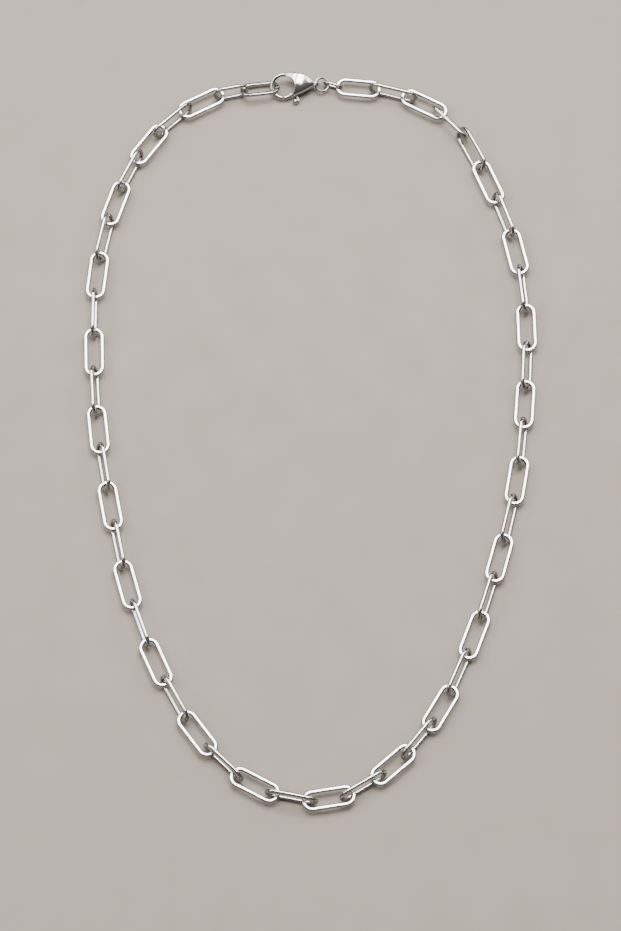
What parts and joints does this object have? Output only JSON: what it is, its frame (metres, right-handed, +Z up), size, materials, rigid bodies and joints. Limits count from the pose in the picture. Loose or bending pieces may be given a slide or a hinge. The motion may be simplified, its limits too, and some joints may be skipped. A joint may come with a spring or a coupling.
{
  "type": "paperclip chain necklace",
  "caption": "Closed necklace chain of long oval paperclip links in polished silver, fastened by a lobster clasp with a hinged thumb lever, a jump ring and a small connecting link.",
  "frame": {"origin": "middle of the bounding box, at the height of the surface that the chain lies on", "axes": "+Z up from the surface, +Y along the loop's length towards the clasp, +X to the right as the picture shows it"},
  "size_m": [0.1078, 0.183, 0.0049],
  "materials": {
    "chain_silver": "polished silver with fine wear",
    "clasp_silver": "polished cast silver",
    "lever_silver": "polished silver, slightly duller",
    "ring_silver": "polished silver wire"
  },
  "bodies": {
    "necklace": {"chain": "chain_silver", "clasp_body": "clasp_silver", "jump_ring": "ring_silver", "connector_link": "ring_silver"},
    "lever": {"clasp_lever": "lever_silver"}
  },
  "joints": [
    {"name": "lever_hinge", "type": "hinge", "parent": "necklace", "child": "lever", "pos_m": [-0.00362, 0.08607, 0.00145], "axis": [0, 0.309, -0.9511], "range_deg": [0, 25], "stiffness_Nm_per_rad": 0.001, "springref_deg": -22.92}
  ]
}
